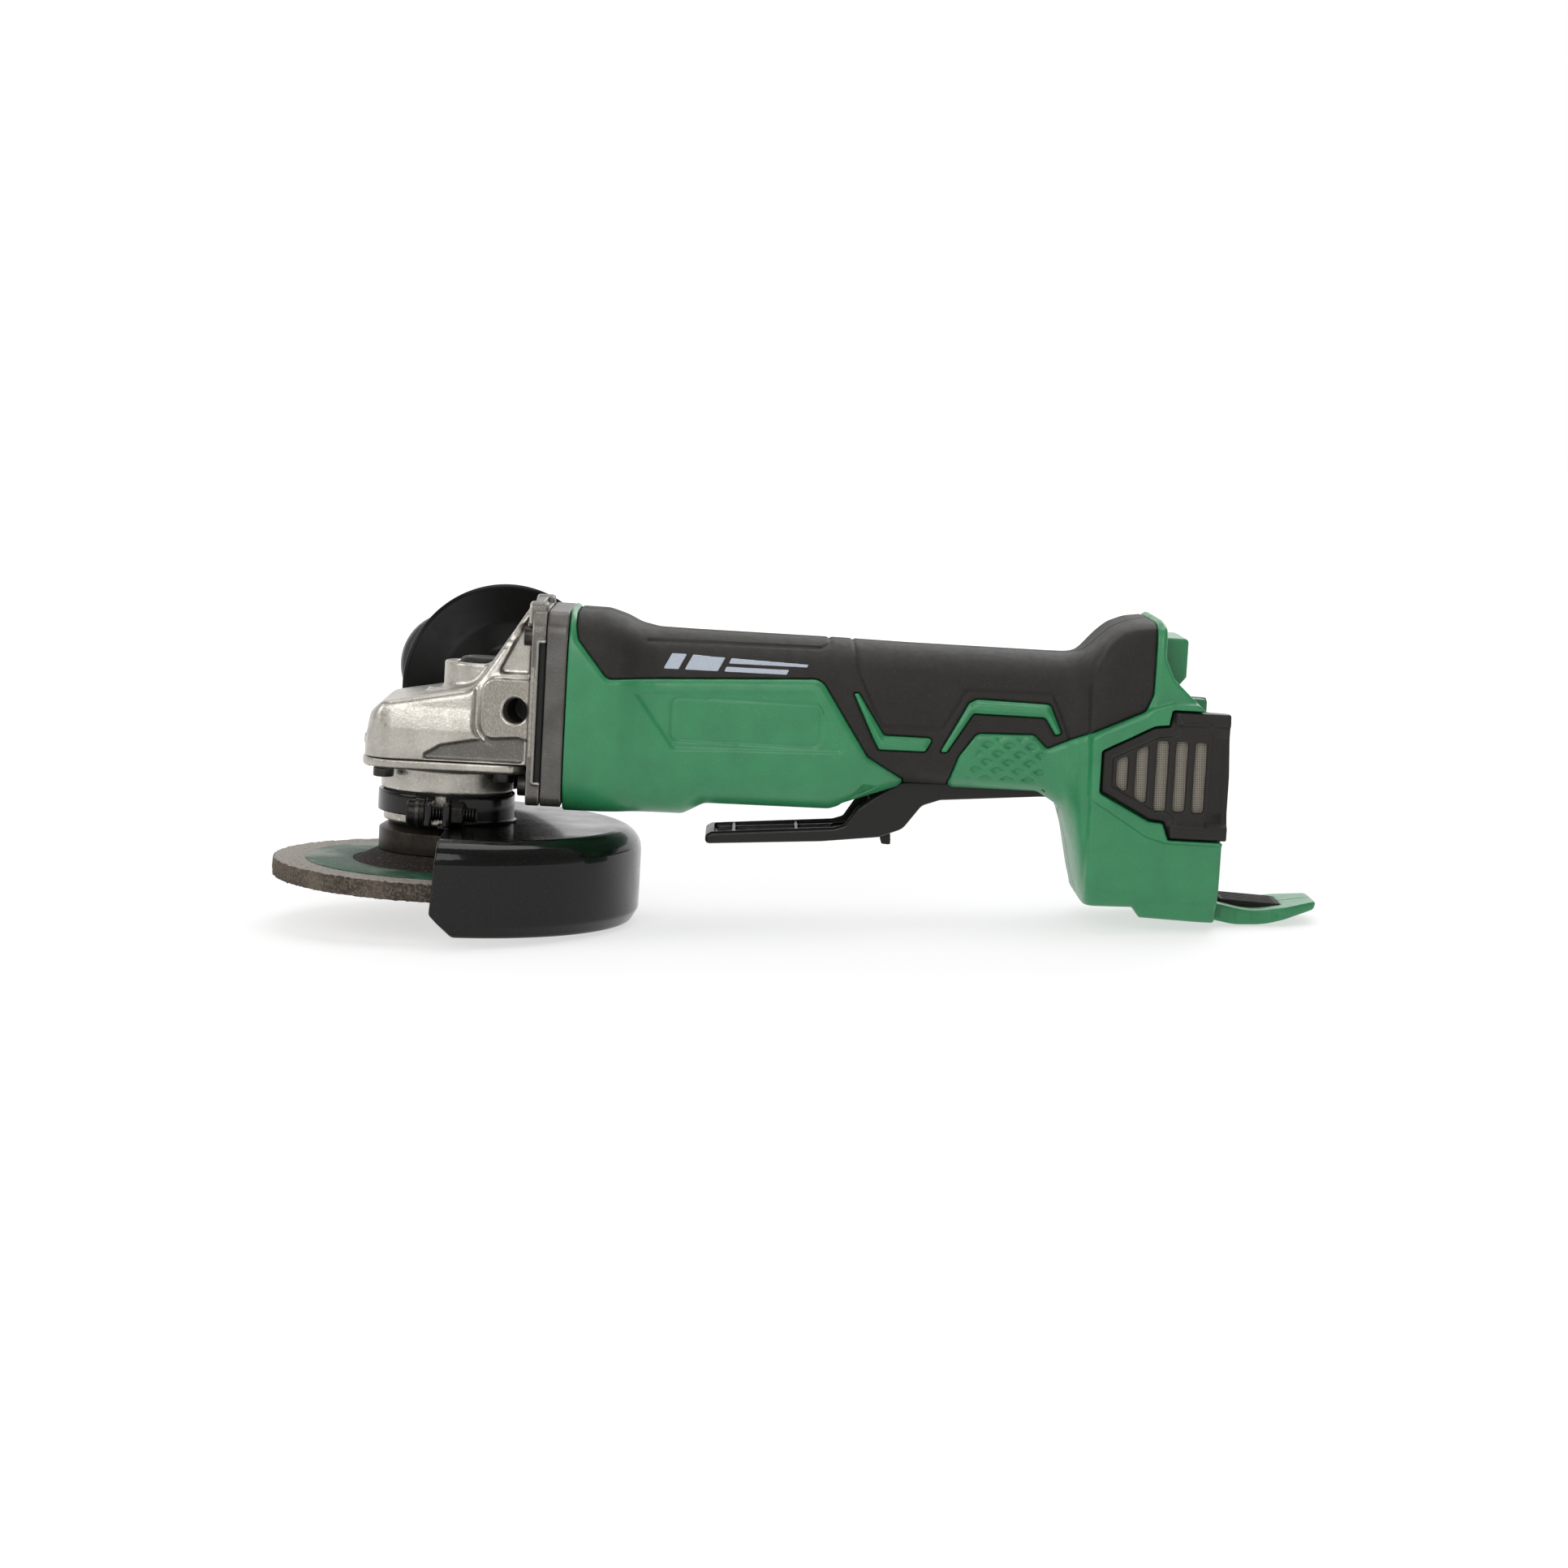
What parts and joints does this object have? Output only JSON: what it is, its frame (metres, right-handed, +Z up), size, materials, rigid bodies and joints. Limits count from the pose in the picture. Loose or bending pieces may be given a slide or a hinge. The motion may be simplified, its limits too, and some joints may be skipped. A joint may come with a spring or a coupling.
{
  "type": "angle grinder",
  "caption": "Cordless angle grinder with a paddle switch, guarded grinding wheel, screwed-in side handle, cast gear case, rubber-covered grip and filter covers, with no battery fitted",
  "frame": {"origin": "centre of the bounding box's footprint, on the surface that the tool stands on", "axes": "+X rearwards along the motor axis, +Y to the operator's right, where the side handle is, +Z up"},
  "size_m": [0.3518, 0.225, 0.1085],
  "materials": {
    "green_plastic": "satin",
    "elastomer": "matte",
    "black_plastic": "satin",
    "guard_black": "gloss",
    "cast_metal": "satin",
    "dark_cast": "satin",
    "steel": "ground",
    "black_steel": "oxide black",
    "laminations": "copper and steel",
    "brass": "bright",
    "abrasive": "gritty",
    "mesh_grey": "dull"
  },
  "bodies": {
    "tool": {"spindle_bearing": "steel", "spindle_bush": "brass", "gear_case": "cast_metal", "bearing_holder": "cast_metal", "holder_screw_1": "black_steel", "holder_screw_2": "black_steel", "holder_screw_3": "black_steel", "holder_screw_4": "black_steel", "case_screw_1": "black_steel", "case_screw_2": "black_steel", "case_screw_3": "black_steel", "case_screw_4": "black_steel", "lock_spring": "steel", "motor_plate": "dark_cast", "stator": "laminations", "front_bearing": "steel", "rear_bearing": "steel", "housing_left": "green_plastic", "housing_right": "green_plastic", "grip_overmould_left": "elastomer", "grip_overmould_right": "elastomer", "housing_screw_1": "black_steel", "housing_screw_2": "black_steel", "housing_screw_3": "black_steel", "housing_screw_4": "black_steel", "foot_pad": "elastomer", "lever_pin": "steel", "lever_spring": "steel", "switch_body": "black_plastic", "controller": "black_plastic", "battery_plate": "black_plastic", "terminal_blade_1": "brass", "terminal_blade_2": "brass", "terminal_blade_3": "brass", "terminal_blade_4": "brass", "side_handle_grip": "black_plastic", "side_handle_stud": "steel"},
    "spindle_set": {"spindle": "steel", "inner_flange": "black_steel", "grinding_wheel": "abrasive", "wheel_nut": "black_steel", "ring_gear": "steel"},
    "rotor": {"rotor_shaft": "steel", "pinion": "steel", "rotor_core": "laminations", "cooling_fan": "black_plastic"},
    "guard_set": {"guard": "guard_black", "guard_clamp_screw": "black_steel", "guard_clamp_nut": "black_steel"},
    "lock": {"lock_button": "black_plastic", "lock_pin": "steel"},
    "paddle": {"paddle_lever": "black_plastic", "lock_off_pin": "steel"},
    "lock_off": {"lock_off_lever": "black_plastic"},
    "plunger": {"switch_plunger": "black_plastic"},
    "filter_left": {"filter_cover_left": "black_plastic", "filter_mesh_left": "mesh_grey"},
    "filter_right": {"filter_cover_right": "black_plastic", "filter_mesh_right": "mesh_grey"}
  },
  "joints": [
    {"name": "spindle_spin", "type": "hinge", "parent": "tool", "child": "spindle_set", "pos_m": [-0.11815, -0.04602, 0.01972], "axis": [0.0546, 0, 0.9985], "continuous": true},
    {"name": "rotor_spin", "type": "hinge", "parent": "tool", "child": "rotor", "pos_m": [-0.07523, -0.04602, 0.07195], "axis": [0.9985, 0, -0.0546], "continuous": true},
    {"name": "guard_turn", "type": "hinge", "parent": "tool", "child": "guard_set", "pos_m": [-0.11815, -0.04602, 0.01972], "axis": [0.0546, 0, 0.9985], "range_deg": [-90, 45]},
    {"name": "lock_press", "type": "slide", "parent": "tool", "child": "lock", "axis": [-0.0546, 0, -0.9985], "range_m": [0, 0.003], "stiffness_N_per_m": 400, "springref_m": -0.003, "deforming": ["lock_spring"]},
    {"name": "paddle_squeeze", "type": "hinge", "parent": "tool", "child": "paddle", "pos_m": [0.08468, -0.04602, 0.0477], "axis": [0, 1, 0], "range_deg": [0, 4], "stiffness_Nm_per_rad": 3, "springref_deg": -11.46},
    {"name": "lock_off_tilt", "type": "hinge", "parent": "paddle", "child": "lock_off", "pos_m": [0.029, -0.04602, 0.03672], "axis": [0, 1, 0], "range_deg": [0, 18], "stiffness_Nm_per_rad": 0.05, "springref_deg": -17.19},
    {"name": "switch_press", "type": "slide", "parent": "tool", "child": "plunger", "axis": [0.0546, 0, 0.9985], "range_m": [0, 0.0027]},
    {"name": "filter_left_pull", "type": "slide", "parent": "tool", "child": "filter_left", "axis": [0, -1, 0], "range_m": [0, 0.02]},
    {"name": "filter_right_pull", "type": "slide", "parent": "tool", "child": "filter_right", "axis": [0, 1, 0], "range_m": [0, 0.02]}
  ],
  "couplings": [
    {"joint": "rotor_spin", "follows": "spindle_spin", "ratio": 3.1667},
    {"joint": "switch_press", "follows": "paddle_squeeze", "m_per_rad": 0.038}
  ]
}
